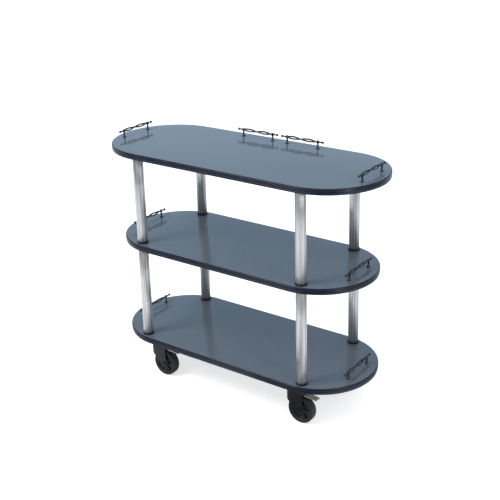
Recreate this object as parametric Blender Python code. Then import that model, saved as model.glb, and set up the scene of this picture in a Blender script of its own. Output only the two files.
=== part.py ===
"""Food service trolley: three stadium shelves on tubular posts, with gallery rails and swivel casters.

Metres, +Z up, length along X, front towards -Y. The origin is on the floor, under the shelves' centre.
"""
import math

import bmesh
import bpy
from mathutils import Matrix, Vector

# Driving dimensions, in metres
GAP = 0.0003                    # clearance kept between touching pieces
OVERLAP = 0.001                 # how far shapes run into each other before a union, or past before a cut
SMOOTH_ANGLE = 35               # degrees, edges sharper than this stay sharp

BOTTOM_SHELF_TOP = 0.164        # top face of the bottom shelf above the floor
LOWER_TIER_PITCH = 0.377        # bottom shelf to middle shelf, top face to top face
UPPER_TIER_PITCH = 0.358        # middle shelf to top shelf
BOARD_THICKNESS = 0.023
TOP_SHELF_SIZE = (1.130, 0.441)
LOWER_SHELF_SIZE = (1.055, 0.426)
POST_PLACE = (0.352, 0.179)     # distance of the post centres from the middle
CASTER_PLACE = (0.312, 0.160)   # distance of the swivel axes from the middle

EDGE_ROUND = 0.004              # radius of the board's top edge
EDGE_ANGLES = (0, 30, 60, 90)   # degrees round that edge
BAND_DEPTH = 0.005              # how far the edge moulding is let into the board
BAND_HEIGHT = BOARD_THICKNESS - EDGE_ROUND - 0.001
BAND_CROWN = 0.0015             # how far the moulding's edges fall back from its face
BAND_CROWN_SHARE = 0.25         # share of the moulding's height that each fall takes
END_STEPS = 18                  # straight facets round each shelf end
CLEAR_INSET = 0.070             # the top face is level inside this distance from the edge
TOP_FALL = 0.0001               # and falls this much between there and the rounded edge

POST_RADIUS = 0.019
POST_WALL = 0.0016
COLLAR_RADIUS = 0.0212
COLLAR_HEIGHT = 0.0075
COLLAR_CHAMFER = 0.0012
TUBE_SIDES = 16

BOLT_RADIUS = 0.004
BOLT_HOLE_RADIUS = 0.0047
BOLT_HEAD_RADIUS = 0.0075
BOLT_HEAD_HEIGHT = 0.0055
BOLT_SIDES = 12
BLIND_HOLE_DEPTH = 0.016        # the top board is not drilled through
BOLT_END_CLEARANCE = 0.002
DRILL_OVERRUN = 0.010           # how far a drill runs past the board

RAIL_HEIGHT = 0.025             # bar centre above the shelf
RAIL_HALF_SPAN = 0.0665         # stanchion centres from the rail's middle
RAIL_HALF_LENGTH = 0.0925
RAIL_KNUCKLE_RADIUS = 0.0062
RAIL_FINIAL_RADIUS = 0.0050
RAIL_ROD_RADIUS = 0.0024
RAIL_TURNED_SIDES = 6           # facets round the balls, rods and stanchions
BALL_ANGLES = (25, 65, 115, 155)    # degrees from a ball's pole to each of its rings
STRAND_RADIUS = 0.0021
STRAND_OFFSET = 0.0042          # each strand's centre line from the bar's centre line
STRAND_STEPS = 10
STRAND_SIDES = 5
STANCHION_RADIUS = 0.0032
FLANGE_RADIUS = 0.0075
FLANGE_HEIGHT = 0.002
BACK_RAIL_PLACES = (-0.070, 0.128)
BACK_RAIL_INSET = 0.0375        # rail line from the shelf's back edge
TOP_END_RAIL_INSET = 0.047      # rail line from the shelf's tip
LOWER_END_RAIL_INSET = 0.0545

WHEEL_RADIUS = 0.051
TYRE_SIDES = 32
TYRE_HALF_WIDTH = 0.015
TREAD_HALF_WIDTH = 0.0095
TYRE_SHOULDER = 0.0035          # drop from the tread to the tyre's wall
TYRE_BORE_STEP = 0.001          # how much narrower each side of the tyre is at its bore
TYRE_BORE_RADIUS = 0.0425
CORE_RADIUS = 0.0417
CORE_RIM_HALF_WIDTH = 0.013
CORE_SIDES = 16
WEB_RADIUS = 0.036              # where the core's rim meets its web
WEB_HALF_WIDTH = 0.009
WEB_ROOT_HALF_WIDTH = 0.010     # the web where it meets the hub
HUB_FILLET = 0.002
HUB_RADIUS = 0.013
HUB_HALF_WIDTH = 0.016
AXLE_RADIUS = 0.0039
AXLE_BORE_RADIUS = 0.0043
AXLE_HEAD_RADIUS = 0.0075
AXLE_HEAD_LENGTH = 0.005
AXLE_SIDES = 12
TRAIL = 0.029                   # axle behind the swivel axis
LEG_INNER = 0.017               # inner face of each fork leg from the wheel's middle
LEG_THICKNESS = 0.003
LEG_FRONT = -0.022
LEG_REAR = 0.038
LEG_FRONT_HEIGHT = 0.038        # straight part of the leg's front edge, down from its top
LEG_REAR_HEIGHT = 0.018
LEG_BOSS_RADIUS = 0.014
LEG_BOSS_ARC = (200, 380)       # degrees of the boss that show below the leg
LEG_BOSS_STEPS = 6
CROWN_RADIUS = 0.029
CROWN_THICKNESS = 0.005
KINGPIN_RADIUS = 0.006
KINGPIN_BORE_RADIUS = 0.0065
KINGPIN_SIDES = 16
PLATE_SIZE = (0.062, 0.072, 0.004)
RACE_RADIUS = 0.0285
RACE_DEPTH = 0.009
RACE_CHAMFER = 0.003
BRAKE_PIVOT = (0.030, 0.112)    # from the swivel axis, above the floor
BRAKE_BARREL_RADIUS = 0.0035
BRAKE_BARREL_SIDES = 12
BRAKE_SIDE_CLEARANCE = 0.001    # barrel end to fork leg
BRAKE_HALF_WIDTH = 0.013
BRAKE_TIP = (0.096, 0.1065)
BRAKE_BEND = (0.72, 0.50)       # where the pedal bends, as shares of its reach and of its drop
BRAKE_THICKNESS = 0.0025

CORNERS = {
    "front_left": (-1, -1),
    "front_right": (1, -1),
    "rear_left": (-1, 1),
    "rear_right": (1, 1),
}
BRAKED_CORNERS = ("front_left", "front_right")

BOTTOM_SHELF_UNDER = BOTTOM_SHELF_TOP - BOARD_THICKNESS
MIDDLE_SHELF_TOP = BOTTOM_SHELF_TOP + LOWER_TIER_PITCH
TOP_SHELF_TOP = MIDDLE_SHELF_TOP + UPPER_TIER_PITCH
PLATE_TOP = BOTTOM_SHELF_UNDER - GAP
RACE_UNDER = PLATE_TOP - PLATE_SIZE[2] - RACE_DEPTH
CROWN_TOP = RACE_UNDER - GAP
LEG_TOP = CROWN_TOP - CROWN_THICKNESS / 2


def clear_scene():
    for obj in list(bpy.data.objects):
        bpy.data.objects.remove(obj, do_unlink=True)


def make_material(name, colour, roughness, metallic):
    material = bpy.data.materials.new(name)
    material.use_nodes = True
    shader = material.node_tree.nodes["Principled BSDF"]
    shader.inputs["Base Color"].default_value = (*colour, 1.0)
    shader.inputs["Roughness"].default_value = roughness
    shader.inputs["Metallic"].default_value = metallic
    return material


def circle(radius, sides, turn=0.0):
    """Points of a regular polygon in the plane, counter-clockwise."""
    step = 2 * math.pi / sides
    return [(radius * math.cos(turn + i * step), radius * math.sin(turn + i * step)) for i in range(sides)]


def stadium(size, inset):
    """Outline of a shelf: two straight sides and two round ends, moved inwards by inset."""
    length, width = size
    radius = width / 2 - inset
    centre = length / 2 - width / 2
    points = []
    for side in (1, -1):
        for i in range(END_STEPS + 1):
            angle = -math.pi / 2 + math.pi * i / END_STEPS
            points.append((side * (centre + radius * math.cos(angle)), side * radius * math.sin(angle)))
    return points


def loft(loops, closed):
    """Mesh through loops of equal length. A closed loft joins the last loop to the first, with no caps."""
    mesh = bpy.data.meshes.new("loft")
    shape = bmesh.new()
    rows = [[shape.verts.new(point) for point in loop] for loop in loops]
    pairs = list(zip(rows, rows[1:]))
    if closed:
        pairs.append((rows[-1], rows[0]))
    else:
        shape.faces.new(rows[0])
        shape.faces.new(rows[-1])
    count = len(loops[0])
    for low, high in pairs:
        for i in range(count):
            j = (i + 1) % count
            shape.faces.new((low[i], low[j], high[j], high[i]))
    bmesh.ops.recalc_face_normals(shape, faces=shape.faces)
    shape.to_mesh(mesh)
    shape.free()
    return mesh


def turned(profile, sides, closed, axis="Z", turn=0.0):
    """Solid of revolution. The profile holds (radius, height) pairs along the axis."""
    loops = []
    for radius, height in profile:
        if axis == "Z":
            loops.append([(x, y, height) for x, y in circle(radius, sides, turn)])
        elif axis == "Y":
            loops.append([(x, height, z) for x, z in circle(radius, sides, turn)])
        else:
            loops.append([(height, y, z) for y, z in circle(radius, sides, turn)])
    return loft(loops, closed)


def block(low, high):
    """Box between two corners."""
    (x0, y0, z0), (x1, y1, z1) = low, high
    base = [(x0, y0), (x1, y0), (x1, y1), (x0, y1)]
    return loft([[(x, y, z) for x, y in base] for z in (z0, z1)], closed=False)


def moved(mesh, offset):
    mesh.transform(Matrix.Translation(Vector(offset)))
    return mesh


def place(name, mesh, material, location=(0, 0, 0), turn=0.0):
    """Put a mesh in the scene as one named piece."""
    obj = bpy.data.objects.new(name, mesh)
    if not mesh.materials:
        mesh.materials.append(material)
    mesh.shade_smooth()
    mesh.set_sharp_from_angle(angle=math.radians(SMOOTH_ANGLE))
    obj.location = location
    obj.rotation_euler = (0, 0, turn)
    bpy.context.scene.collection.objects.link(obj)
    return obj


def combined(base, others, operation):
    """Boolean of a base mesh with several others, returned as a new mesh."""
    work = bpy.data.objects.new("work", base)
    bpy.context.scene.collection.objects.link(work)
    tools = []
    for mesh in others:
        tool = bpy.data.objects.new("tool", mesh)
        tool.hide_render = True
        tool.display_type = "WIRE"
        bpy.context.scene.collection.objects.link(tool)
        tools.append(tool)
        boolean = work.modifiers.new("boolean", "BOOLEAN")
        boolean.operation = operation
        boolean.solver = "EXACT"
        boolean.object = tool
    bpy.context.view_layer.update()
    depsgraph = bpy.context.evaluated_depsgraph_get()
    result = bpy.data.meshes.new_from_object(work.evaluated_get(depsgraph))
    for obj in [work, *tools]:
        bpy.data.objects.remove(obj, do_unlink=True)
    return result


def board_mesh(size, top, hole_low, hole_high):
    """Shelf board: a level top that falls very slightly to a rounded edge, with a rebate for the moulding."""
    rebate = top - EDGE_ROUND - GAP
    rings = [(BAND_DEPTH, top - BOARD_THICKNESS), (BAND_DEPTH, rebate), (0, rebate)]
    for angle in map(math.radians, EDGE_ANGLES):
        height = top - TOP_FALL - EDGE_ROUND * (1 - math.sin(angle))
        rings.append((EDGE_ROUND * (1 - math.cos(angle)), height))
    rings.append((CLEAR_INSET, top))
    body = loft([[(x, y, z) for x, y in stadium(size, inset)] for inset, z in rings], closed=False)
    drills = []
    for side_x, side_y in CORNERS.values():
        drill = turned([(BOLT_HOLE_RADIUS, hole_low), (BOLT_HOLE_RADIUS, hole_high)], BOLT_SIDES, closed=False)
        drills.append(moved(drill, (side_x * POST_PLACE[0], side_y * POST_PLACE[1], 0)))
    return combined(body, drills, "DIFFERENCE")


def band_mesh(size, top):
    """Edge moulding: a crowned strip that runs right round the board."""
    high = top - EDGE_ROUND - 2 * GAP
    low = high - BAND_HEIGHT
    inner = BAND_DEPTH - GAP
    profile = [
        (inner, high),
        (BAND_CROWN, high),
        (0, high - BAND_HEIGHT * BAND_CROWN_SHARE),
        (0, low + BAND_HEIGHT * BAND_CROWN_SHARE),
        (BAND_CROWN, low),
        (inner, low),
    ]
    return loft([[(x, y, z) for x, y in stadium(size, inset)] for inset, z in profile], closed=True)


def build_shelves(laminate, moulding):
    shelves = (
        ("bottom_shelf", LOWER_SHELF_SIZE, BOTTOM_SHELF_TOP, None),
        ("middle_shelf", LOWER_SHELF_SIZE, MIDDLE_SHELF_TOP, None),
        ("top_shelf", TOP_SHELF_SIZE, TOP_SHELF_TOP, BLIND_HOLE_DEPTH),
    )
    for name, size, top, hole_depth in shelves:
        under = top - BOARD_THICKNESS
        hole_end = under + hole_depth if hole_depth else top + DRILL_OVERRUN
        place(name + "_board", board_mesh(size, top, under - DRILL_OVERRUN, hole_end), laminate)
        place(name + "_band", band_mesh(size, top), moulding)


def post_mesh(height):
    outer = POST_RADIUS
    inner = POST_RADIUS - POST_WALL
    profile = [(outer, GAP), (outer, height - GAP), (inner, height - GAP), (inner, GAP)]
    return turned(profile, TUBE_SIDES, closed=True)


def collar_mesh():
    inner = POST_RADIUS + 3 * GAP
    profile = [
        (inner, GAP),
        (COLLAR_RADIUS, GAP),
        (COLLAR_RADIUS, COLLAR_HEIGHT - COLLAR_CHAMFER),
        (COLLAR_RADIUS - COLLAR_CHAMFER, COLLAR_HEIGHT),
        (inner, COLLAR_HEIGHT),
    ]
    return turned(profile, TUBE_SIDES, closed=True)


def tie_bolt_mesh():
    head_top = BOTTOM_SHELF_UNDER - GAP
    head_under = head_top - BOLT_HEAD_HEIGHT
    end = TOP_SHELF_TOP - BOARD_THICKNESS + BLIND_HOLE_DEPTH - BOLT_END_CLEARANCE
    profile = [
        (BOLT_HEAD_RADIUS, head_under),
        (BOLT_HEAD_RADIUS, head_top),
        (BOLT_RADIUS, head_top),
        (BOLT_RADIUS, end),
    ]
    return turned(profile, BOLT_SIDES, closed=False)


def build_posts(steel, rubber, zinc):
    tiers = (
        ("lower", BOTTOM_SHELF_TOP, post_mesh(LOWER_TIER_PITCH - BOARD_THICKNESS)),
        ("upper", MIDDLE_SHELF_TOP, post_mesh(UPPER_TIER_PITCH - BOARD_THICKNESS)),
    )
    collar = collar_mesh()
    bolt = tie_bolt_mesh()
    for corner, (side_x, side_y) in CORNERS.items():
        x = side_x * POST_PLACE[0]
        y = side_y * POST_PLACE[1]
        for tier, floor, post in tiers:
            place("post_%s_%s" % (tier, corner), post, steel, (x, y, floor))
            place("post_collar_%s_%s" % (tier, corner), collar, rubber, (x, y, floor))
        place("tie_bolt_" + corner, bolt, zinc, (x, y, 0))


def ball(radius, centre):
    """Faceted ball whose poles lie along the rail."""
    profile = [(radius * math.sin(a), -radius * math.cos(a)) for a in map(math.radians, BALL_ANGLES)]
    return moved(turned(profile, RAIL_TURNED_SIDES, closed=False, axis="X"), centre)


def strand_mesh(phase):
    """One of the bar's two strands: a full turn of a helix between the stanchions."""
    loops = []
    for i in range(STRAND_STEPS + 1):
        along = i / STRAND_STEPS
        angle = phase + 2 * math.pi * along
        x = RAIL_HALF_SPAN * (2 * along - 1)
        y = STRAND_OFFSET * math.cos(angle)
        z = RAIL_HEIGHT + STRAND_OFFSET * math.sin(angle)
        loops.append([(x, y + dy, z + dz) for dy, dz in circle(STRAND_RADIUS, STRAND_SIDES)])
    return loft(loops, closed=False)


def stanchion_mesh(x):
    profile = [
        (FLANGE_RADIUS, GAP),
        (FLANGE_RADIUS, FLANGE_HEIGHT),
        (STANCHION_RADIUS, FLANGE_HEIGHT),
        (STANCHION_RADIUS, RAIL_HEIGHT),
    ]
    return moved(turned(profile, RAIL_TURNED_SIDES, closed=False), (x, 0, 0))


def rail_mesh():
    """Gallery rail along X: two strands between knuckles, end rods with finials, and two stanchions."""
    pieces = [strand_mesh(math.pi)]
    for side in (-1, 1):
        knuckle_x = side * RAIL_HALF_SPAN
        finial_x = side * (RAIL_HALF_LENGTH - RAIL_FINIAL_RADIUS)
        low, high = sorted((knuckle_x, finial_x - side * OVERLAP))
        rod = turned([(RAIL_ROD_RADIUS, low), (RAIL_ROD_RADIUS, high)], RAIL_TURNED_SIDES, False, "X")
        pieces.append(moved(rod, (0, 0, RAIL_HEIGHT)))
        pieces.append(ball(RAIL_KNUCKLE_RADIUS, (knuckle_x, 0, RAIL_HEIGHT)))
        pieces.append(ball(RAIL_FINIAL_RADIUS, (finial_x, 0, RAIL_HEIGHT)))
        pieces.append(stanchion_mesh(knuckle_x))
    return combined(strand_mesh(0), pieces, "UNION")


def build_rails(chrome):
    rail = rail_mesh()
    back_y = TOP_SHELF_SIZE[1] / 2 - BACK_RAIL_INSET
    for side, x in zip(("left", "right"), BACK_RAIL_PLACES):
        place("rail_top_back_" + side, rail, chrome, (x, back_y, TOP_SHELF_TOP))
    shelves = (
        ("top", TOP_SHELF_SIZE, TOP_SHELF_TOP, TOP_END_RAIL_INSET),
        ("middle", LOWER_SHELF_SIZE, MIDDLE_SHELF_TOP, LOWER_END_RAIL_INSET),
        ("bottom", LOWER_SHELF_SIZE, BOTTOM_SHELF_TOP, LOWER_END_RAIL_INSET),
    )
    for shelf, size, top, inset in shelves:
        for side, sign in (("left", -1), ("right", 1)):
            place("rail_%s_%s" % (shelf, side), rail, chrome, (sign * (size[0] / 2 - inset), 0, top), math.pi / 2)


def plate_mesh():
    """Caster mounting plate with the fixed half of the swivel race below it, bored for the kingpin."""
    half_x, half_y = PLATE_SIZE[0] / 2, PLATE_SIZE[1] / 2
    plate_under = PLATE_TOP - PLATE_SIZE[2]
    plate = block((-half_x, -half_y, plate_under), (half_x, half_y, PLATE_TOP))
    race_profile = [
        (RACE_RADIUS - RACE_CHAMFER, RACE_UNDER),
        (RACE_RADIUS, RACE_UNDER + RACE_CHAMFER),
        (RACE_RADIUS, plate_under + OVERLAP),
    ]
    race = turned(race_profile, KINGPIN_SIDES, closed=False)
    bore_profile = [(KINGPIN_BORE_RADIUS, RACE_UNDER - OVERLAP), (KINGPIN_BORE_RADIUS, PLATE_TOP + OVERLAP)]
    bore = turned(bore_profile, KINGPIN_SIDES, closed=False)
    return combined(combined(plate, [race], "UNION"), [bore], "DIFFERENCE")


def leg_mesh(side):
    """Fork leg: wide at the crown, with a round boss at the axle."""
    axle = (TRAIL, WHEEL_RADIUS)
    outline = [(LEG_FRONT, LEG_TOP), (LEG_FRONT, LEG_TOP - LEG_FRONT_HEIGHT)]
    first, last = map(math.radians, LEG_BOSS_ARC)
    for i in range(LEG_BOSS_STEPS + 1):
        angle = first + (last - first) * i / LEG_BOSS_STEPS
        outline.append((axle[0] + LEG_BOSS_RADIUS * math.cos(angle), axle[1] + LEG_BOSS_RADIUS * math.sin(angle)))
    outline += [(LEG_REAR, LEG_TOP - LEG_REAR_HEIGHT), (LEG_REAR, LEG_TOP)]
    inner, outer = sorted((side * LEG_INNER, side * (LEG_INNER + LEG_THICKNESS)))
    return loft([[(x, y, z) for x, z in outline] for y in (inner, outer)], closed=False)


def fork_mesh():
    """Swivel fork: crown, kingpin and two legs, drilled for the axle."""
    low = CROWN_TOP - CROWN_THICKNESS
    crown = turned([(CROWN_RADIUS, low), (CROWN_RADIUS, CROWN_TOP)], KINGPIN_SIDES, closed=False)
    bridge_low = (LEG_FRONT + OVERLAP, -LEG_INNER - OVERLAP, low + OVERLAP)
    bridge_high = (LEG_REAR - OVERLAP, LEG_INNER + OVERLAP, LEG_TOP - OVERLAP / 2)
    bridge = block(bridge_low, bridge_high)
    pin_profile = [(KINGPIN_RADIUS, low + OVERLAP), (KINGPIN_RADIUS, PLATE_TOP - OVERLAP)]
    kingpin = turned(pin_profile, KINGPIN_SIDES, closed=False)
    body = combined(crown, [bridge, kingpin, leg_mesh(-1), leg_mesh(1)], "UNION")
    reach = LEG_INNER + LEG_THICKNESS + OVERLAP
    drill = turned([(AXLE_BORE_RADIUS, -reach), (AXLE_BORE_RADIUS, reach)], AXLE_SIDES, False, "Y")
    return combined(body, [moved(drill, (TRAIL, 0, WHEEL_RADIUS))], "DIFFERENCE")


def axle_mesh():
    """Axle bolt with its head and nut, outside the fork legs."""
    shoulder = LEG_INNER + LEG_THICKNESS + GAP
    tip = shoulder + AXLE_HEAD_LENGTH
    profile = [
        (AXLE_HEAD_RADIUS, -tip),
        (AXLE_HEAD_RADIUS, -shoulder),
        (AXLE_RADIUS, -shoulder),
        (AXLE_RADIUS, shoulder),
        (AXLE_HEAD_RADIUS, shoulder),
        (AXLE_HEAD_RADIUS, tip),
    ]
    return turned(profile, AXLE_SIDES, closed=False, axis="Y")


def wheel_core_mesh():
    half = [
        (CORE_RADIUS, CORE_RIM_HALF_WIDTH),
        (WEB_RADIUS, WEB_HALF_WIDTH),
        (HUB_RADIUS + HUB_FILLET, WEB_ROOT_HALF_WIDTH),
        (HUB_RADIUS, HUB_HALF_WIDTH),
        (AXLE_BORE_RADIUS, HUB_HALF_WIDTH),
    ]
    profile = half + [(radius, -width) for radius, width in reversed(half)]
    return turned(profile, CORE_SIDES, closed=True, axis="Y")


def tyre_mesh():
    """Tyre ring. Its facets are turned so that one of them lies flat on the floor."""
    facet_turn = math.pi / TYRE_SIDES
    outer = WHEEL_RADIUS / math.cos(facet_turn)
    half = [
        (outer, TREAD_HALF_WIDTH),
        (outer - TYRE_SHOULDER, TYRE_HALF_WIDTH),
        (TYRE_BORE_RADIUS, TYRE_HALF_WIDTH - TYRE_BORE_STEP),
    ]
    profile = half + [(radius, -width) for radius, width in reversed(half)]
    return turned(profile, TYRE_SIDES, closed=True, axis="Y", turn=facet_turn)


def brake_mesh():
    """Foot pedal from its pivot barrel, out over the tyre. The barrel is centred on the mesh origin."""
    barrel_half = LEG_INNER - BRAKE_SIDE_CLEARANCE
    barrel_profile = [(BRAKE_BARREL_RADIUS, -barrel_half), (BRAKE_BARREL_RADIUS, barrel_half)]
    barrel = turned(barrel_profile, BRAKE_BARREL_SIDES, False, "Y")
    reach_x = BRAKE_TIP[0] - BRAKE_PIVOT[0]
    drop = BRAKE_TIP[1] - BRAKE_PIVOT[1]
    half = BRAKE_THICKNESS / 2
    bend_x = reach_x * BRAKE_BEND[0]
    bend_z = drop * BRAKE_BEND[1]
    lower_edge = [(0, -half), (bend_x, bend_z - half), (reach_x, drop - half)]
    upper_edge = [(reach_x, drop + half), (bend_x, bend_z + half), (0, half)]
    side = lower_edge + upper_edge
    pedal = loft([[(x, y, z) for x, z in side] for y in (-BRAKE_HALF_WIDTH, BRAKE_HALF_WIDTH)], closed=False)
    return combined(barrel, [pedal], "UNION")


def build_casters(black_steel, zinc, core_plastic, tyre_rubber):
    plate = plate_mesh()
    fork = fork_mesh()
    axle = axle_mesh()
    core = wheel_core_mesh()
    tyre = tyre_mesh()
    brake = brake_mesh()
    for corner, (side_x, side_y) in CORNERS.items():
        x = side_x * CASTER_PLACE[0]
        y = side_y * CASTER_PLACE[1]
        wheel_centre = (x + TRAIL, y, WHEEL_RADIUS)
        place("caster_plate_" + corner, plate, zinc, (x, y, 0))
        place("caster_fork_" + corner, fork, black_steel, (x, y, 0))
        place("caster_axle_" + corner, axle, black_steel, wheel_centre)
        place("wheel_core_" + corner, core, core_plastic, wheel_centre)
        place("wheel_tyre_" + corner, tyre, tyre_rubber, wheel_centre)
        if corner in BRAKED_CORNERS:
            place("caster_brake_" + corner, brake, zinc, (x + BRAKE_PIVOT[0], y, BRAKE_PIVOT[1]))


def main():
    clear_scene()
    laminate = make_material("slate_laminate", (0.17, 0.22, 0.29), 0.35, 0.0)
    moulding = make_material("navy_moulding", (0.012, 0.018, 0.035), 0.25, 0.0)
    steel = make_material("bright_steel", (0.72, 0.73, 0.75), 0.18, 1.0)
    rubber = make_material("black_collar", (0.015, 0.015, 0.017), 0.5, 0.0)
    zinc = make_material("zinc_plate", (0.62, 0.63, 0.64), 0.35, 1.0)
    chrome = make_material("chrome", (0.80, 0.81, 0.82), 0.08, 1.0)
    black_steel = make_material("black_steel", (0.020, 0.021, 0.023), 0.45, 0.0)
    core_plastic = make_material("wheel_core", (0.055, 0.058, 0.062), 0.5, 0.0)
    tyre_rubber = make_material("tyre_rubber", (0.020, 0.020, 0.021), 0.75, 0.0)
    build_shelves(laminate, moulding)
    build_posts(steel, rubber, zinc)
    build_rails(chrome)
    build_casters(black_steel, zinc, core_plastic, tyre_rubber)


main()
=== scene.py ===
import math

import bmesh
import bpy
from mathutils import Matrix, Vector


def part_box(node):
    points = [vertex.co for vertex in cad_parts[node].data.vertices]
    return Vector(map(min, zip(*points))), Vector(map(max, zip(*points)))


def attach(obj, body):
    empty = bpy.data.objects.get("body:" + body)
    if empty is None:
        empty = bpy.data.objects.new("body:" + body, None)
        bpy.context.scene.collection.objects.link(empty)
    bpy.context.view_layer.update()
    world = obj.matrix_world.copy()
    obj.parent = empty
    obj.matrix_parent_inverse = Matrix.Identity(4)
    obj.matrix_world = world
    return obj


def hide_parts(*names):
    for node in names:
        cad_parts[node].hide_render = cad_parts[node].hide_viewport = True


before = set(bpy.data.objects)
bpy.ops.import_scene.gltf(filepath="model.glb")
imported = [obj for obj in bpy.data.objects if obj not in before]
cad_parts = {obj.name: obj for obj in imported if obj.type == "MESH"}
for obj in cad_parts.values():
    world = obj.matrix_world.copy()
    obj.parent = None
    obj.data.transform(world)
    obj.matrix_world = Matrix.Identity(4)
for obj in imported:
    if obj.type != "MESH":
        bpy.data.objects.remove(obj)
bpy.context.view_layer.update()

# Names that the model's pieces share
SHELVES = ("bottom_shelf", "middle_shelf", "top_shelf")
CORNERS = ("front_left", "front_right", "rear_left", "rear_right")
BRAKED_CORNERS = ("front_left", "front_right")
TIERS = (("lower", "bottom_shelf"), ("upper", "middle_shelf"))
RAILS = (
    ("rail_top_back_left", "top_shelf", "X"),
    ("rail_top_back_right", "top_shelf", "X"),
    ("rail_top_left", "top_shelf", "Y"),
    ("rail_top_right", "top_shelf", "Y"),
    ("rail_middle_left", "middle_shelf", "Y"),
    ("rail_middle_right", "middle_shelf", "Y"),
    ("rail_bottom_left", "bottom_shelf", "Y"),
    ("rail_bottom_right", "bottom_shelf", "Y"),
)
ROOT = "chassis"

# Camera: its place in metres, its angles in degrees and its lens in millimetres
CAMERA_PLACE = (1.9285, -2.6156, 1.8707)
CAMERA_YAW = 34.195
CAMERA_PITCH = 18.328
CAMERA_ROLL = -0.851
CAMERA_LENS = 68.15
CAMERA_SHIFT = (-0.06, -0.14)

# Studio: dark towards STUDIO_FRONT and bright on the opposite side. Each ramp below runs from that
# opposite side, at 0, round to the front, at 1.
STUDIO_FRONT = (0.59, -0.81, 0.0)
FLOOR_RADIUS = 60.0
FLOOR_GLOW = 0.55
FLOOR_SECTORS = (
    (0.0, 0.70),
    (0.25, 0.70),
    (0.40, 0.50),
    (0.60, 0.50),
    (0.78, 0.95),
    (0.945, 0.95),
    (0.975, 0.05),
    (1.0, 0.05),
)
BACKDROP = (0.52, 0.72, 0.95)
WORLD_SIDES = (
    (0.0, BACKDROP),
    (0.36, BACKDROP),
    (0.46, 0.25),
    (0.62, 0.25),
    (0.80, 0.50),
    (0.955, 0.45),
    (0.985, 0.05),
    (1.0, 0.05),
)
WORLD_OVERHEAD = ((0.55, 0.0), (0.75, 1.0))
WHITE = (1.0, 1.0, 1.0)


# ---------------------------------------------------------------- meshes

SMALLEST_RADIUS = 1e-5


def circle(radius, sides):
    """Points of a regular polygon in the plane, counter-clockwise."""
    step = 2 * math.pi / sides
    angles = [i * step for i in range(sides)]
    return [(radius * math.cos(angle), radius * math.sin(angle)) for angle in angles]


def loft(loops, closed=False):
    """Mesh through loops of equal length. A closed loft joins its last loop to its first."""
    shape = bmesh.new()
    rows = [[shape.verts.new(point) for point in loop] for loop in loops]
    pairs = list(zip(rows, rows[1:]))
    if closed:
        pairs.append((rows[-1], rows[0]))
    else:
        shape.faces.new(rows[0])
        shape.faces.new(rows[-1])
    count = len(loops[0])
    for low, high in pairs:
        for i in range(count):
            j = (i + 1) % count
            shape.faces.new((low[i], low[j], high[j], high[i]))
    bmesh.ops.recalc_face_normals(shape, faces=shape.faces)
    mesh = bpy.data.meshes.new("loft")
    shape.to_mesh(mesh)
    shape.free()
    return mesh


def turned(profile, sides, axis="Z", closed=False):
    """Solid of revolution. The profile holds (radius, height) pairs along the axis."""
    loops = []
    for radius, height in profile:
        ring = circle(max(radius, SMALLEST_RADIUS), sides)
        if axis == "Z":
            loops.append([(x, y, height) for x, y in ring])
        elif axis == "Y":
            loops.append([(x, height, z) for x, z in ring])
        else:
            loops.append([(height, y, z) for y, z in ring])
    return loft(loops, closed)


def arc(centre, radius, start, end, steps):
    """Points of a circular arc in the plane, with angles in degrees."""
    points = []
    for i in range(steps + 1):
        angle = math.radians(start + (end - start) * i / steps)
        points.append((centre[0] + radius * math.cos(angle), centre[1] + radius * math.sin(angle)))
    return points


def prism(outline, low, high, axis="Y"):
    """Straight extrusion of an outline between two depths along an axis."""
    loops = []
    for depth in (low, high):
        if axis == "Y":
            loops.append([(x, depth, z) for x, z in outline])
        else:
            loops.append([(x, y, depth) for x, y in outline])
    return loft(loops)


def moved(mesh, offset, turn=0.0):
    mesh.transform(Matrix.Translation(Vector(offset)) @ Matrix.Rotation(turn, 4, "Z"))
    return mesh


def merged(meshes):
    """Several meshes as one."""
    shape = bmesh.new()
    for mesh in meshes:
        shape.from_mesh(mesh)
    result = bpy.data.meshes.new("merged")
    shape.to_mesh(result)
    shape.free()
    return result


def apply_modifiers(mesh, *modifiers):
    """The mesh after modifiers, each given as (type, settings)."""
    work = bpy.data.objects.new("work", mesh)
    bpy.context.scene.collection.objects.link(work)
    for kind, settings in modifiers:
        modifier = work.modifiers.new(kind.lower(), kind)
        for key, value in settings.items():
            setattr(modifier, key, value)
    bpy.context.view_layer.update()
    evaluated = work.evaluated_get(bpy.context.evaluated_depsgraph_get())
    result = bpy.data.meshes.new_from_object(evaluated)
    bpy.data.objects.remove(work, do_unlink=True)
    return result


def bevelled(mesh, width, segments=3, angle=35):
    settings = {
        "width": width,
        "segments": segments,
        "limit_method": "ANGLE",
        "angle_limit": math.radians(angle),
    }
    return apply_modifiers(mesh, ("BEVEL", settings))


def boolean(base, others, operation):
    """Boolean of a mesh with several others."""
    tools = []
    modifiers = []
    for mesh in others:
        tool = bpy.data.objects.new("tool", mesh)
        bpy.context.scene.collection.objects.link(tool)
        tools.append(tool)
        modifiers.append(("BOOLEAN", {"operation": operation, "solver": "EXACT", "object": tool}))
    result = apply_modifiers(base, *modifiers)
    for tool in tools:
        bpy.data.objects.remove(tool, do_unlink=True)
    return result


# ---------------------------------------------------------------- materials

def colour_ramp(tree, value, stops):
    """A colour or grey ramp. Each stop is (position, colour), and a grey is one number."""
    node = tree.nodes.new("ShaderNodeValToRGB")
    elements = node.color_ramp.elements
    while len(elements) < len(stops):
        elements.new(0.5)
    for element, (position, colour) in zip(elements, stops):
        element.position = position
        if isinstance(colour, float):
            colour = (colour, colour, colour)
        element.color = (*colour, 1.0)
    tree.links.new(value, node.inputs["Fac"])
    return node.outputs["Color"]


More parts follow.
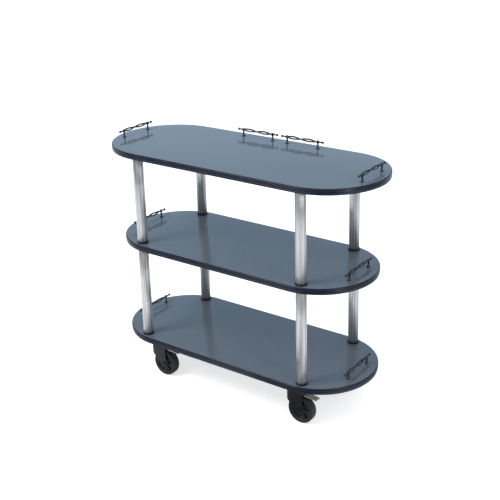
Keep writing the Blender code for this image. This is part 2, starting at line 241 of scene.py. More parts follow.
class Nodes:
    """Short names for making one material's nodes."""

    def __init__(self, name, roughness, metallic=0.0, **sockets):
        self.material = bpy.data.materials.new(name)
        self.material.use_nodes = True
        self.tree = self.material.node_tree
        self.shader = self.tree.nodes["Principled BSDF"]
        self.shader.inputs["Roughness"].default_value = roughness
        self.shader.inputs["Metallic"].default_value = metallic
        for key, value in sockets.items():
            self.shader.inputs[key.replace("_", " ")].default_value = value
        self.place = self.tree.nodes.new("ShaderNodeTexCoord").outputs["Object"]

    def link(self, source, target):
        self.tree.links.new(source, target)

    def stretched(self, scale):
        mapping = self.tree.nodes.new("ShaderNodeMapping")
        mapping.inputs["Scale"].default_value = scale
        self.link(self.place, mapping.inputs["Vector"])
        return mapping.outputs["Vector"]

    def noise(self, scale, detail=4.0, rough=0.55, vector=None):
        node = self.tree.nodes.new("ShaderNodeTexNoise")
        node.inputs["Scale"].default_value = scale
        node.inputs["Detail"].default_value = detail
        node.inputs["Roughness"].default_value = rough
        self.link(vector or self.place, node.inputs["Vector"])
        return node.outputs["Fac"]

    def ramp(self, value, *stops):
        return colour_ramp(self.tree, value, stops)

    def mix(self, value, first, second):
        """Mix of two colours, each a colour output or a tuple."""
        node = self.tree.nodes.new("ShaderNodeMix")
        node.data_type = "RGBA"
        self.link(value, node.inputs["Factor"])
        for socket, colour in ((node.inputs[6], first), (node.inputs[7], second)):
            if isinstance(colour, tuple):
                socket.default_value = (*colour, 1.0)
            else:
                self.link(colour, socket)
        return node.outputs[2]

    def colour(self, output):
        self.link(output, self.shader.inputs["Base Color"])

    def roughness(self, value, low, high):
        node = self.tree.nodes.new("ShaderNodeMapRange")
        node.inputs["From Min"].default_value = 0.3
        node.inputs["From Max"].default_value = 0.7
        node.inputs["To Min"].default_value = low
        node.inputs["To Max"].default_value = high
        self.link(value, node.inputs["Value"])
        self.link(node.outputs["Result"], self.shader.inputs["Roughness"])

    def bump(self, value, distance, strength=0.5):
        node = self.tree.nodes.new("ShaderNodeBump")
        node.inputs["Strength"].default_value = strength
        node.inputs["Distance"].default_value = distance
        self.link(value, node.inputs["Height"])
        self.link(node.outputs["Normal"], self.shader.inputs["Normal"])


def facing(tree, direction):
    """How far a direction points to the studio's front: 1 straight to it, 0 straight away."""
    dot = tree.nodes.new("ShaderNodeVectorMath")
    dot.operation = "DOT_PRODUCT"
    dot.inputs[1].default_value = STUDIO_FRONT
    tree.links.new(direction, dot.inputs[0])
    scaled = tree.nodes.new("ShaderNodeMapRange")
    scaled.inputs["From Min"].default_value = -1.0
    scaled.inputs["From Max"].default_value = 1.0
    tree.links.new(dot.outputs["Value"], scaled.inputs["Value"])
    return scaled.outputs["Result"]


def laminate_material():
    """Slate blue-grey laminate: a glossy sheet with a fine mottle and a faint pebble grain."""
    nodes = Nodes("laminate", 0.2, Specular_IOR_Level=0.27, Specular_Tint=(0.45, 0.78, 1.0, 1.0))
    dark, light = (0.110, 0.134, 0.162), (0.128, 0.154, 0.184)
    mottle = nodes.ramp(nodes.noise(140.0, 6.0), (0.35, dark), (0.65, light))
    broad = nodes.noise(3.0, 2.0)
    tinted = nodes.mix(broad, mottle, (0.116, 0.138, 0.160))
    fleck = nodes.ramp(nodes.noise(900.0, 2.0), (0.60, 0.0), (0.70, 0.30))
    nodes.colour(nodes.mix(fleck, tinted, (0.160, 0.188, 0.220)))
    nodes.roughness(nodes.noise(30.0, 5.0), 0.07, 0.13)
    nodes.bump(nodes.noise(1400.0, 3.0), 0.00005, 0.25)
    return nodes.material


def backer_material():
    """Dull buff backing sheet under each board."""
    nodes = Nodes("backing_sheet", 0.6)
    dark, light = (0.170, 0.166, 0.156), (0.225, 0.220, 0.208)
    nodes.colour(nodes.ramp(nodes.noise(60.0, 6.0), (0.3, dark), (0.7, light)))
    nodes.roughness(nodes.noise(25.0, 4.0), 0.5, 0.68)
    nodes.bump(nodes.noise(500.0, 3.0), 0.0002, 0.3)
    return nodes.material


def moulding_material():
    """Glossy dark navy vinyl, with a few dull scuffs."""
    nodes = Nodes("edge_moulding", 0.2, Specular_IOR_Level=0.25)
    dark, light = (0.006, 0.010, 0.022), (0.009, 0.015, 0.031)
    base = nodes.ramp(nodes.noise(18.0, 3.0), (0.3, dark), (0.7, light))
    scuff = nodes.ramp(nodes.noise(70.0, 8.0, 0.7), (0.66, 0.0), (0.80, 0.22))
    nodes.colour(nodes.mix(scuff, base, (0.030, 0.036, 0.050)))
    nodes.roughness(nodes.noise(45.0, 6.0), 0.14, 0.30)
    nodes.bump(nodes.noise(260.0, 2.0), 0.00004, 0.25)
    return nodes.material


def tube_material():
    """Polished steel tube: fine drawing lines, and darker bands along its length that are painted
    reflections in the base colour.
    """
    nodes = Nodes("post_steel", 0.4, 0.82, Anisotropic=1.0)
    along = nodes.stretched((900.0, 900.0, 6.0))
    lines = nodes.noise(1.0, 4.0, 0.6, along)
    tangent = nodes.tree.nodes.new("ShaderNodeTangent")
    tangent.direction_type = "RADIAL"
    tangent.axis = "Z"
    nodes.link(tangent.outputs["Tangent"], nodes.shader.inputs["Tangent"])
    # Painted reflection: a noise stretched along the tube mixes dark grey bands into the base colour in
    # place of dark reflected stripes, so they stay put when the light moves.
    painted_reflection_streaks = nodes.noise(1.0, 3.0, 0.6, nodes.stretched((190.0, 190.0, 0.4)))
    fine = nodes.ramp(lines, (0.25, (0.66, 0.67, 0.69)), (0.75, (0.84, 0.84, 0.85)))
    share = nodes.ramp(painted_reflection_streaks, (0.46, 0.0), (0.58, 0.60))
    nodes.colour(nodes.mix(share, fine, (0.24, 0.25, 0.27)))
    nodes.roughness(lines, 0.34, 0.42)
    nodes.bump(lines, 0.00004, 0.25)
    return nodes.material


def chrome_material():
    """Dark blue-black chrome with faint finger smears."""
    nodes = Nodes("rail_chrome", 0.08, 1.0)
    dark, light = (0.036, 0.042, 0.052), (0.078, 0.086, 0.100)
    nodes.colour(nodes.ramp(nodes.noise(40.0, 4.0), (0.3, dark), (0.7, light)))
    nodes.roughness(nodes.noise(90.0, 6.0), 0.04, 0.16)
    nodes.bump(nodes.noise(700.0, 2.0), 0.00003, 0.2)
    return nodes.material


def zinc_material():
    """Zinc-plated steel: slightly cloudy, with a warm and cool cast."""
    nodes = Nodes("plated_steel", 0.35, 1.0)
    dark, light = (0.55, 0.56, 0.58), (0.70, 0.69, 0.66)
    nodes.colour(nodes.ramp(nodes.noise(55.0, 6.0), (0.3, dark), (0.7, light)))
    nodes.roughness(nodes.noise(160.0, 5.0), 0.22, 0.42)
    nodes.bump(nodes.noise(900.0, 3.0), 0.00006, 0.3)
    return nodes.material


def black_steel_material():
    """Black powder coat with an orange-peel surface and a little dust."""
    nodes = Nodes("black_steel", 0.42)
    dark, light = (0.004, 0.0045, 0.006), (0.009, 0.010, 0.012)
    base = nodes.ramp(nodes.noise(40.0, 4.0), (0.3, dark), (0.7, light))
    dust = nodes.ramp(nodes.noise(120.0, 8.0, 0.7), (0.58, 0.0), (0.80, 0.4))
    nodes.colour(nodes.mix(dust, base, (0.028, 0.028, 0.030)))
    nodes.roughness(nodes.noise(80.0, 5.0), 0.34, 0.52)
    nodes.bump(nodes.noise(1100.0, 2.0), 0.00015, 0.5)
    return nodes.material


def core_material():
    """Dark grey moulded wheel centre."""
    nodes = Nodes("wheel_core", 0.5)
    dark, light = (0.009, 0.010, 0.012), (0.018, 0.019, 0.022)
    nodes.colour(nodes.ramp(nodes.noise(50.0, 5.0), (0.3, dark), (0.7, light)))
    nodes.roughness(nodes.noise(70.0, 5.0), 0.38, 0.58)
    nodes.bump(nodes.noise(1300.0, 2.0), 0.0001, 0.4)
    return nodes.material


RUBBER_BLACK = (0.004, 0.004, 0.005)


def rubber_material(name, dark, light, low, high):
    """Black rubber, greyer where it is scuffed."""
    nodes = Nodes(name, high)
    base = nodes.ramp(nodes.noise(60.0, 5.0), (0.3, dark), (0.7, light))
    scuff = nodes.ramp(nodes.noise(170.0, 8.0, 0.72), (0.56, 0.0), (0.78, 0.5))
    nodes.colour(nodes.mix(scuff, base, tuple(3.0 * value for value in light)))
    nodes.roughness(nodes.noise(90.0, 6.0), low, high)
    nodes.bump(nodes.noise(1000.0, 4.0), 0.0002, 0.5)
    return nodes.material


def floor_material():
    """Pale studio floor, slightly glowing. Glossy rays see darker sectors, as if dark flags lay on it."""
    nodes = Nodes("pale_floor", 0.55)
    pale = nodes.ramp(nodes.noise(1.5, 3.0), (0.3, (0.88, 0.88, 0.88)), (0.7, (0.91, 0.91, 0.905)))
    nodes.roughness(nodes.noise(4.0, 3.0), 0.5, 0.6)
    tree = nodes.tree
    flat = tree.nodes.new("ShaderNodeVectorMath")
    flat.operation = "MULTIPLY"
    flat.inputs[1].default_value = (1.0, 1.0, 0.0)
    nodes.link(nodes.place, flat.inputs[0])
    direction = tree.nodes.new("ShaderNodeVectorMath")
    direction.operation = "NORMALIZE"
    nodes.link(flat.outputs["Vector"], direction.inputs[0])
    sectors = nodes.ramp(facing(tree, direction.outputs["Vector"]), *FLOOR_SECTORS)
    path = tree.nodes.new("ShaderNodeLightPath")
    nodes.colour(nodes.mix(path.outputs["Is Glossy Ray"], pale, sectors))
    glow = nodes.mix(path.outputs["Is Glossy Ray"], WHITE, sectors)
    nodes.link(glow, nodes.shader.inputs["Emission Color"])
    nodes.shader.inputs["Emission Strength"].default_value = FLOOR_GLOW
    nodes.shader.inputs["Specular IOR Level"].default_value = 0.1
    return nodes.material


MATERIALS = {
    "laminate": laminate_material(),
    "backer": backer_material(),
    "edge_moulding": moulding_material(),
    "post_steel": tube_material(),
    "rail_chrome": chrome_material(),
    "plated_steel": zinc_material(),
    "black_steel": black_steel_material(),
    "wheel_core": core_material(),
    "tyre": rubber_material("tyre", RUBBER_BLACK, (0.009, 0.009, 0.010), 0.55, 0.8),
    "collar_rubber": rubber_material("collar_rubber", RUBBER_BLACK, (0.008, 0.008, 0.009), 0.3, 0.5),
}


def piece(name, mesh, slot, body, nodes=(), smooth_angle=30, material=None):
    """Put one finished piece in the scene, riding on its body."""
    mesh.name = name
    mesh.materials.clear()
    mesh.materials.append(MATERIALS[material or slot])
    mesh.shade_smooth()
    mesh.set_sharp_from_angle(angle=math.radians(smooth_angle))
    obj = bpy.data.objects.new(name, mesh)
    bpy.context.scene.collection.objects.link(obj)
    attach(obj, body)
    if nodes:
        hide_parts(*nodes)
    return obj


def middle(node):
    low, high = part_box(node)
    return (Vector(low) + Vector(high)) / 2


# ---------------------------------------------------------------- shelves

SHELF_END_STEPS = 64
EDGE_ROUND = 0.004
GAP = 0.0003
BOARD_REBATE = 0.005
BOARD_CHAMFER = 0.0015
LIP_EASE = 0.0004
# Upward part of a face's normal, for a board's underside and for its level top
UNDERSIDE_BELOW = -0.5
LEVEL_ABOVE = 0.985
BAND_THICKNESS = 0.0047
BAND_BEAD = 0.0031
BAND_CROWN = 0.0014
BAND_CROWN_STEPS = 12
BAND_CROWN_MARGIN = 0.0040


def stadium(size, inset):
    """Outline of a shelf: two straight sides and two round ends, moved inwards by inset."""
    length, width = size
    radius = width / 2 - inset
    centre = length / 2 - width / 2
    points = []
    for side in (1, -1):
        for i in range(SHELF_END_STEPS + 1):
            angle = -math.pi / 2 + math.pi * i / SHELF_END_STEPS
            across, along = radius * math.sin(angle), centre + radius * math.cos(angle)
            points.append((side * along, side * across))
    return points


def make_board(shelf):
    """Board with a soft top edge, a rebate for the moulding and a small chamfer underneath."""
    node = shelf + "_board"
    low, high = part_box(node)
    size = (high[0] - low[0], high[1] - low[1])
    top, under = high[2], low[2]
    rebate = top - EDGE_ROUND - GAP
    rings = [
        (BOARD_REBATE + BOARD_CHAMFER, under),
        (BOARD_REBATE, under + BOARD_CHAMFER),
        (BOARD_REBATE, rebate),
        (LIP_EASE, rebate),
        (0, rebate + LIP_EASE),
    ]
    rings += [(EDGE_ROUND - x, top - EDGE_ROUND + z) for x, z in arc((0, 0), EDGE_ROUND, 0, 90, 10)]
    mesh = loft([[(x, y, z) for x, y in stadium(size, back)] for back, z in rings])
    board = piece(node + "_laminate", mesh, "laminate", ROOT, [node])
    board.data.materials.append(MATERIALS["backer"])
    board.data.materials.append(MATERIALS["edge_moulding"])
    for face in board.data.polygons:
        if face.normal.z < UNDERSIDE_BELOW:
            face.material_index = 1
        elif face.normal.z < LEVEL_ABOVE:
            face.material_index = 2


def make_band(shelf):
    """Edge moulding: a crowned face between two small beads."""
    node = shelf + "_band"
    low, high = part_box(node)
    size = (high[0] - low[0], high[1] - low[1])
    top, under = high[2], low[2]
    middle_z = (top + under) / 2
    half = (top - under) / 2
    bead = [(0.0022, 0.0), (0.0012, 0.0005), (0.0008, 0.0018), (0.0012, BAND_BEAD)]
    profile = [(BAND_THICKNESS, top)]
    profile += [(back, top - down) for back, down in bead]
    for i in range(BAND_CROWN_STEPS + 1):
        t = -1 + 2 * i / BAND_CROWN_STEPS
        profile.append((BAND_CROWN * t * t, middle_z - (half - BAND_CROWN_MARGIN) * t))
    profile += [(back, under + up) for back, up in reversed(bead)]
    profile += [(BAND_THICKNESS, under)]
    mesh = loft([[(x, y, z) for x, y in stadium(size, back)] for back, z in profile], closed=True)
    piece(node + "_moulding", mesh, "edge_moulding", ROOT, [node])


# ---------------------------------------------------------------- posts

POST_SIDES = 96
POST_WALL = 0.0016
POST_EASE = 0.0004
COLLAR_SIDES = 72
COLLAR_CLEARANCE = 0.0005
COLLAR_SHOULDER = 0.0013
BOLT_RADIUS = 0.004
BOLT_HEAD_RADIUS = 0.0074


def make_posts():
    for corner in CORNERS:
        for tier, shelf in TIERS:
            node = "post_%s_%s" % (tier, corner)
            low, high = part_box(node)
            centre = middle(node)
            radius = (high[0] - low[0]) / 2
            bottom, top = low[2], high[2]
            profile = [
                (radius - POST_WALL, bottom),
                (radius - POST_EASE, bottom),
                (radius, bottom + POST_EASE),
                (radius, top - POST_EASE),
                (radius - POST_EASE, top),
                (radius - POST_WALL, top),
            ]
            tube = moved(turned(profile, POST_SIDES, closed=True), (centre.x, centre.y, 0))
            piece(node + "_tube", tube, "post_steel", ROOT, [node], smooth_angle=50)
            make_collar("post_collar_%s_%s" % (tier, corner), radius)


def make_collar(node, post_radius):
    """Moulded ring: straight foot, round shoulder and a shallow groove."""
    low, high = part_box(node)
    centre = middle(node)
    outer = (high[0] - low[0]) / 2
    bottom, top = low[2], high[2]
    inner = post_radius + COLLAR_CLEARANCE
    profile = [
        (inner, bottom),
        (outer - 0.0004, bottom),
        (outer, bottom + 0.0004),
        (outer, bottom + 0.0026),
        (outer - 0.0003, bottom + 0.0029),
        (outer - 0.0003, bottom + 0.0033),
        (outer, bottom + 0.0036),
    ]
    profile += arc((outer - COLLAR_SHOULDER, top - COLLAR_SHOULDER), COLLAR_SHOULDER, 0, 90, 8)
    profile += [(inner, top)]
    mesh = moved(turned(profile, COLLAR_SIDES, closed=True), (centre.x, centre.y, 0))
    piece(node + "_ring", mesh, "collar_rubber", ROOT, [node], smooth_angle=50)


def hex_head(radius, low, high, dome=0.0006):
    """Hexagon bolt head with a rounded crown."""
    loops = []
    for scale, z in ((1.0, low), (1.0, high - dome), (0.93, high - dome * 0.2), (0.80, high)):
        loops.append([(x * scale, y * scale, z) for x, y in circle(radius, 6)])
    return bevelled(loft(loops), 0.0003, 2, 40)


def make_tie_bolts():
    for corner in CORNERS:
        node = "tie_bolt_" + corner
        low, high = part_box(node)
        centre = middle(node)
        radius = BOLT_RADIUS
        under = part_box("bottom_shelf_board")[0][2]
        washer_profile = [
            (radius + 0.0002, under - 0.0015),
            (0.0074, under - 0.0015),
            (0.0075, under - 0.0013),
            (0.0075, under - 0.0003),
            (radius + 0.0002, under - 0.0003),
        ]
        washer = turned(washer_profile, 48, closed=True)
        shank = turned([(radius, under - 0.001), (radius, high[2] - 0.001), (radius - 0.001, high[2])], 24)
        head = hex_head(BOLT_HEAD_RADIUS, low[2], under - 0.0016)
        mesh = moved(merged([head, shank, washer]), (centre.x, centre.y, 0))
        piece(node + "_steel", mesh, "plated_steel", ROOT, [node])


# ---------------------------------------------------------------- gallery rails

RAIL_HALF_SPAN = 0.0665
RAIL_BAR_ABOVE = 0.025
STRAND_RADIUS = 0.0029
STRAND_OFFSET = 0.0040
STRAND_STEPS = 56
KNUCKLE_RADIUS = 0.0062
FINIAL_RADIUS = 0.0050
RAIL_SIDES = 28


def tube_along(points, radius, sides=14):
    """Round rod along a path that lies close to the X axis."""
    loops = []
    for i, point in enumerate(points):
        before = Vector(points[max(i - 1, 0)])
        after = Vector(points[min(i + 1, len(points) - 1)])
        along = (after - before).normalized()
        across = along.cross(Vector((0, 0, 1))).normalized()
        up = across.cross(along).normalized()
        loops.append([tuple(Vector(point) + across * x + up * y) for x, y in circle(radius, sides)])
    return loft(loops)


def rail_strand(phase):
    """One of the two strands that twist round each other between the stanchions."""
    points = []
    for i in range(STRAND_STEPS + 1):
        along = i / STRAND_STEPS
        angle = phase + 2 * math.pi * along
        x = RAIL_HALF_SPAN * (2 * along - 1)
        y = STRAND_OFFSET * math.cos(angle)
        z = RAIL_BAR_ABOVE + STRAND_OFFSET * math.sin(angle)
        points.append((x, y, z))
    return tube_along(points, STRAND_RADIUS)


def rail_end(side, half_length):
    """Turned end of the bar: knuckle ball, neck, ring and finial ball."""
    knuckle = RAIL_HALF_SPAN
    finial = half_length - FINIAL_RADIUS
    line = arc((knuckle, 0), KNUCKLE_RADIUS, 180, 25, 14)
    line += [(knuckle + 0.0060, 0.0024), (knuckle + 0.0068, 0.0024)]
    line += arc((knuckle + 0.0090, 0.0012), 0.0022, 180, 0, 8)
    line += [(knuckle + 0.0116, 0.0021), ((knuckle + finial) / 2 + 0.003, 0.0024), (finial - 0.0056, 0.0019)]
    line += arc((finial, 0), FINIAL_RADIUS, 150, 0, 12)
    mesh = turned([(radius, side * x) for x, radius in line], RAIL_SIDES, axis="X")
    return moved(mesh, (0, 0, RAIL_BAR_ABOVE))


def rail_stanchion(x):
    """Turned stanchion: stepped flange, waist and a bead under the bar."""
    profile = [
        (0.0075, GAP),
        (0.0075, 0.0012),
        (0.0068, 0.0020),
        (0.0050, 0.0026),
        (0.0040, 0.0040),
        (0.0031, 0.0060),
        (0.0027, 0.0085),
    ]
    profile += [(radius, z) for z, radius in arc((0.0118, 0.0024), 0.0019, 180, 0, 8)]
    profile += [(0.0027, 0.0150), (0.0030, 0.0172), (0.0036, 0.0190), (0.0036, RAIL_BAR_ABOVE)]
    return moved(turned(profile, RAIL_SIDES), (x, 0, 0))


def make_rails():
    for node, shelf, axis in RAILS:
        low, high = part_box(node)
        centre = middle(node)
        along = 0 if axis == "X" else 1
        half_length = (high[along] - low[along]) / 2
        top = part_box(shelf + "_board")[1][2]
        parts = [rail_strand(0), rail_strand(math.pi)]
        for side in (-1, 1):
            parts.append(rail_end(side, half_length))
            parts.append(rail_stanchion(side * RAIL_HALF_SPAN))
        turn = 0.0 if axis == "X" else math.pi / 2
        mesh = moved(merged(parts), (centre.x, centre.y, top), turn)
        piece(node + "_chrome", mesh, "rail_chrome", ROOT, [node], smooth_angle=40)


# ---------------------------------------------------------------- casters

PLATE_THICKNESS = 0.004
PLATE_CORNER = 0.008
SCREW_INSET = 0.0065
KINGPIN_RADIUS = 0.006
FORK_INNER = 0.017
FORK_THICKNESS = 0.003
FORK_BOSS = 0.014
AXLE_BORE = 0.0043
AXLE_SHOULDER = 0.0203
SPOKES = 6
TYRE_RADIUS = 0.0510
TYRE_CROWN_STEPS = 16
BRAKE_PIVOT = (0.030, 0.112)
PEDAL_HALF_THICKNESS = 0.00125
PEDAL_RIDGES = 4


def rounded_rectangle(half_x, half_y, radius, steps=6):
    """Outline of a rectangle with round corners, counter-clockwise from the right-hand side."""
    points = []
    corners = ((half_x, half_y, 0), (-half_x, half_y, 90), (-half_x, -half_y, 180), (half_x, -half_y, 270))
    for cx, cy, start in corners:
        corner = (cx - math.copysign(radius, cx), cy - math.copysign(radius, cy))
        points += arc(corner, radius, start, start + 90, steps)
    return points


def make_plate(corner):
    """Mounting plate with round corners, four screws and the fixed half of the swivel race."""
    node = "caster_plate_" + corner
    low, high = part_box(node)
    centre = middle(node)
    half_x, half_y = (high[0] - low[0]) / 2, (high[1] - low[1]) / 2
    top = high[2]
    under = top - PLATE_THICKNESS
    race_low = low[2]
    outline = rounded_rectangle(half_x, half_y, PLATE_CORNER)
    plate = bevelled(prism(outline, under, top, axis="Z"), 0.0006, 2, 40)
    profile = [(0.0064, race_low), (0.0245, race_low)]
    profile += arc((0.0260, race_low + 0.0025), 0.0025, -90, 0, 6)
    profile += [
        (0.0285, under - 0.0010),
        (0.0292, under - 0.0003),
        (0.0292, under + 0.0002),
        (0.0064, under + 0.0002),
    ]
    race = turned(profile, 64, closed=True)
    mesh = moved(merged([plate, race]), (centre.x, centre.y, 0))
    piece(node + "_steel", mesh, "plated_steel", ROOT, [node])
    for i, (sx, sy) in enumerate(((-1, -1), (1, -1), (-1, 1), (1, 1))):
        place = (centre.x + sx * (half_x - SCREW_INSET), centre.y + sy * (half_y - SCREW_INSET), 0)
        profile = [
            (0.0010, under - 0.0010),
            (0.0044, under - 0.0010),
            (0.0046, under - 0.0002),
            (0.0010, under - 0.0002),
        ]
        washer = turned(profile, 32, closed=True)
        head = hex_head(0.0038, under - 0.0036, under - 0.0010)
        screw = moved(merged([washer, head]), place)
        piece("caster_screw_%s_%d" % (corner, i), screw, "plated_steel", ROOT)


def fork_leg(side, inner, thickness, axle, top):
    """Pressed leg: wide at the crown, narrow and round at the axle."""
    front, rear = -0.022, 0.038
    outline = [(front, top), (front, top - 0.036)]
    outline += arc((front + 0.012, top - 0.036), 0.012, 180, 222, 5)[1:]
    outline += arc(axle, FORK_BOSS, 222, 380, 22)
    outline += arc((rear - 0.008, top - 0.020), 0.008, -12, 0, 3)
    outline += [(rear, top)]
    low, high = sorted((side * inner, side * (inner + thickness)))
    return prism(outline, low, high)


def make_fork(corner):
    """Swivel fork: domed crown, kingpin, bridge and two pressed legs."""
    body = "caster_" + corner
    node = "caster_fork_" + corner
    kingpin_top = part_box(node)[1][2]
    plate_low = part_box("caster_plate_" + corner)[0][2]
    centre = middle("caster_plate_" + corner)
    wheel = middle("wheel_tyre_" + corner)
    trail = wheel.x - centre.x
    crown_top = plate_low - GAP
    crown_low = crown_top - 0.005
    leg_top = crown_top - 0.0025
    profile = [(0.0001, crown_low - 0.0012), (0.024, crown_low - 0.0012)]
    profile += arc((0.0262, crown_low + 0.0014), 0.0028, -80, 60, 8)
    profile += [(0.0255, crown_top - 0.0004), (0.0245, crown_top), (0.0001, crown_top)]
    crown = turned(profile, 64)
    bridge_low = leg_top - 0.0020
    outline = [(-0.021, bridge_low), (0.037, bridge_low), (0.037, leg_top), (-0.021, leg_top)]
    bridge = prism(outline, -FORK_INNER - 0.001, FORK_INNER + 0.001)
    axle = (trail, wheel.z)
    legs = [fork_leg(side, FORK_INNER, FORK_THICKNESS, axle, leg_top) for side in (-1, 1)]
    body_mesh = boolean(bridge, legs, "UNION")
    drill = turned([(AXLE_BORE, -0.03), (AXLE_BORE, 0.03)], 32, axis="Y")
    body_mesh = boolean(body_mesh, [moved(drill, (trail, 0, wheel.z))], "DIFFERENCE")
    body_mesh = bevelled(body_mesh, 0.0008, 3, 40)
    profile = [(KINGPIN_RADIUS, crown_low), (KINGPIN_RADIUS, kingpin_top - 0.0006), (0.0054, kingpin_top)]
    kingpin = turned(profile, 40)
    mesh = moved(merged([body_mesh, crown, kingpin]), (centre.x, centre.y, 0))
    piece(node + "_black", mesh, "black_steel", body, [node], smooth_angle=35)


def make_axle(corner):
    """Axle bolt with a washer and a hexagon head on each side."""
    node = "caster_axle_" + corner
    centre = middle(node)
    low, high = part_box(node)
    reach = (high[1] - low[1]) / 2
    shoulder = AXLE_SHOULDER
    profile = [(0.0039, -reach + 0.001), (0.0039, reach - 0.0010), (0.0032, reach - 0.0003)]
    parts = [turned(profile, 32, axis="Y")]
    for side in (-1, 1):
        profile = [
            (0.0040, side * shoulder),
            (0.0074, side * shoulder),
            (0.0075, side * (shoulder + 0.0002)),
            (0.0075, side * (shoulder + 0.0008)),
            (0.0040, side * (shoulder + 0.0010)),
        ]
        parts.append(turned(profile, 40, axis="Y", closed=True))
        head = hex_head(0.0068, 0, reach - shoulder - 0.0012)
        head.transform(Matrix.Rotation(math.radians(-90 * side), 4, "X"))
        parts.append(moved(head, (0, side * (shoulder + 0.0011), 0)))
    piece(node + "_bolt", moved(merged(parts), centre), "black_steel", "caster_" + corner, [node])


def make_wheel(corner):
    """Moulded centre with ribs between hub and rim, and a crowned tyre."""
    body = "wheel_" + corner
    centre = middle("wheel_tyre_" + corner)
    rim = [(0.0417, 0.0130), (0.0410, 0.0137), (0.0380, 0.0137), (0.0366, 0.0120), (0.0355, 0.0062)]
    web = [(0.0340, 0.0048), (0.0170, 0.0048), (0.0152, 0.0062)]
    hub = [(0.0140, 0.0145), (0.0130, 0.0157), (0.0120, 0.0160), (0.0050, 0.0160), (0.0043, 0.0153)]
    half = rim + web + hub
    profile = half + [(r, -w) for r, w in reversed(half)]
    core = turned(profile, 72, axis="Y", closed=True)
    ribs = []
    for i in range(SPOKES):
        angle = 2 * math.pi * i / SPOKES
        for side in (-1, 1):
            low, high = sorted((side * 0.0040, side * 0.0112))
            outline = [(0.0125, -0.0016), (0.0372, -0.0011), (0.0372, 0.0011), (0.0125, 0.0016)]
            rib = prism(outline, low, high)
            rib = bevelled(rib, 0.0004, 2, 40)
            rib.transform(Matrix.Rotation(angle, 4, "Y"))
            ribs.append(rib)
    core_node = "wheel_core_" + corner
    piece(core_node + "_moulded", moved(merged([core, *ribs]), centre), "wheel_core", body, [core_node])
    wall = [
        (0.0423, 0.0138),
        (0.0440, 0.0148),
        (0.0462, 0.0150),
        (0.0476, 0.0150),
        (0.0489, 0.0143),
        (0.0501, 0.0126),
    ]
    crown = []
    for i in range(TYRE_CROWN_STEPS + 1):
        t = -1 + 2 * i / TYRE_CROWN_STEPS
        crown.append((TYRE_RADIUS - 0.0004 * t * t, -0.0105 * t))
    profile = wall + crown + [(radius, -width) for radius, width in reversed(wall)]
    tyre_node = "wheel_tyre_" + corner
    tyre = moved(turned(profile, 96, axis="Y", closed=True), centre)
    piece(tyre_node + "_rubber", tyre, "tyre", body, [tyre_node], smooth_angle=50)


def make_brake(corner):
    """Bent foot pedal with grip ridges, on its pivot barrel."""
    node = "caster_brake_" + corner
    tip_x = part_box(node)[1][0]
    fork_x = middle("caster_plate_" + corner).x
    pivot = Vector((fork_x + BRAKE_PIVOT[0], middle(node).y, BRAKE_PIVOT[1]))
    reach = tip_x - pivot.x
    thick = PEDAL_HALF_THICKNESS
    profile = [(0.0029, -0.0160), (0.0035, -0.0154), (0.0035, 0.0154), (0.0029, 0.0160)]
    barrel = turned(profile, 32, axis="Y")
    line = [
        (0.0, 0.0),
        (reach * 0.40, -0.0014),
        (reach * 0.72, -0.0028),
        (reach * 0.88, -0.0042),
        (reach - 0.0004, -0.0055),
    ]
    upper = [(x, z + thick) for x, z in line]
    lower = [(x, z - thick) for x, z in reversed(line)]
    pedal = bevelled(prism(upper + lower, -0.0130, 0.0130), 0.0006, 2, 40)
    ridges = []
    for i in range(PEDAL_RIDGES):
        x = reach * (0.50 + 0.10 * i)
        z = -0.0018 - 0.0008 * i + thick
        profile = [(0.0001, -0.0105), (0.0007, -0.0100), (0.0007, 0.0100), (0.0001, 0.0105)]
        ridges.append(moved(turned(profile, 12, axis="Y"), (x, 0, z)))
    mesh = moved(merged([barrel, pedal, *ridges]), pivot)
    piece(node + "_pedal", mesh, "plated_steel", "brake_" + corner, [node])


# ---------------------------------------------------------------- stage

def make_stage():
    mesh = bpy.data.meshes.new("floor")
    shape = bmesh.new()
    bmesh.ops.create_circle(shape, cap_ends=True, segments=96, radius=FLOOR_RADIUS)
    shape.to_mesh(mesh)
    shape.free()
    floor = bpy.data.objects.new("floor", mesh)
    mesh.materials.append(floor_material())
    bpy.context.scene.collection.objects.link(floor)


def area_light(name, place, aim, size, power):
    data = bpy.data.lights.new(name, "AREA")
    data.shape = "RECTANGLE"
    data.size, data.size_y = size
    data.energy = power
    light = bpy.data.objects.new(name, data)
    light.location = place
    light.rotation_euler = (Vector(aim) - Vector(place)).to_track_quat("-Z", "Y").to_euler()
    bpy.context.scene.collection.objects.link(light)


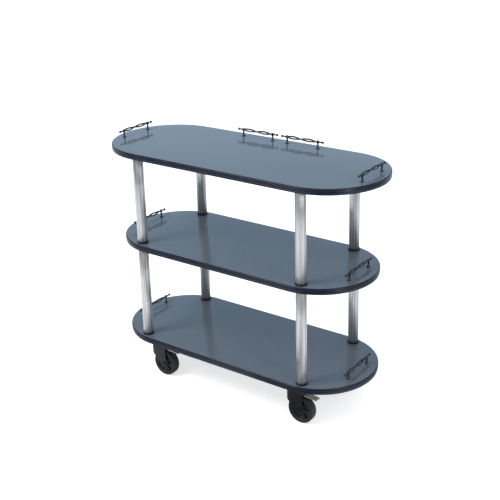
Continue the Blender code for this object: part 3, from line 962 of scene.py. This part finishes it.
def make_world():
    """Studio surroundings: bright behind and overhead, dark in front. The camera itself sees plain white."""
    world = bpy.data.worlds.new("studio")
    bpy.context.scene.world = world
    world.use_nodes = True
    tree = world.node_tree
    background = tree.nodes["Background"]
    direction = tree.nodes.new("ShaderNodeTexCoord").outputs["Generated"]
    split = tree.nodes.new("ShaderNodeSeparateXYZ")
    tree.links.new(direction, split.inputs["Vector"])
    sides = colour_ramp(tree, facing(tree, direction), WORLD_SIDES)
    above = colour_ramp(tree, split.outputs["Z"], WORLD_OVERHEAD)
    lit = world_mix(tree, above, sides, WHITE)
    path = tree.nodes.new("ShaderNodeLightPath")
    seen = world_mix(tree, path.outputs["Is Camera Ray"], lit, WHITE)
    tree.links.new(seen, background.inputs["Color"])
    background.inputs["Strength"].default_value = 1.0


def world_mix(tree, value, first, second):
    """Mix of a colour output with a fixed colour."""
    node = tree.nodes.new("ShaderNodeMix")
    node.data_type = "RGBA"
    tree.links.new(value, node.inputs["Factor"])
    tree.links.new(first, node.inputs[6])
    node.inputs[7].default_value = (*second, 1.0)
    return node.outputs[2]


def make_lights():
    area_light("key", (-1.6, -2.6, 3.4), (0, 0, 0.5), (1.6, 1.6), 75)
    area_light("fill", (3.2, -1.2, 2.2), (0, 0, 0.5), (0.8, 1.6), 20)


def make_camera():
    data = bpy.data.cameras.new("camera")
    data.lens = CAMERA_LENS
    data.sensor_width = 36
    data.shift_x, data.shift_y = CAMERA_SHIFT
    data.clip_end = 200
    camera = bpy.data.objects.new("camera", data)
    camera.location = CAMERA_PLACE
    turn = Matrix.Rotation(math.radians(CAMERA_YAW), 4, "Z")
    tilt = Matrix.Rotation(math.radians(90 - CAMERA_PITCH), 4, "X")
    roll = Matrix.Rotation(math.radians(CAMERA_ROLL), 4, "Z")
    camera.rotation_euler = (turn @ tilt @ roll).to_euler()
    bpy.context.scene.collection.objects.link(camera)
    bpy.context.scene.camera = camera


def main():
    make_camera()
    make_stage()
    make_world()
    make_lights()
    bpy.context.scene.view_settings.view_transform = "Standard"
    for shelf in SHELVES:
        make_board(shelf)
        make_band(shelf)
    make_posts()
    make_tie_bolts()
    make_rails()
    for corner in CORNERS:
        make_plate(corner)
        make_fork(corner)
        make_axle(corner)
        make_wheel(corner)
        if corner in BRAKED_CORNERS:
            make_brake(corner)


main()
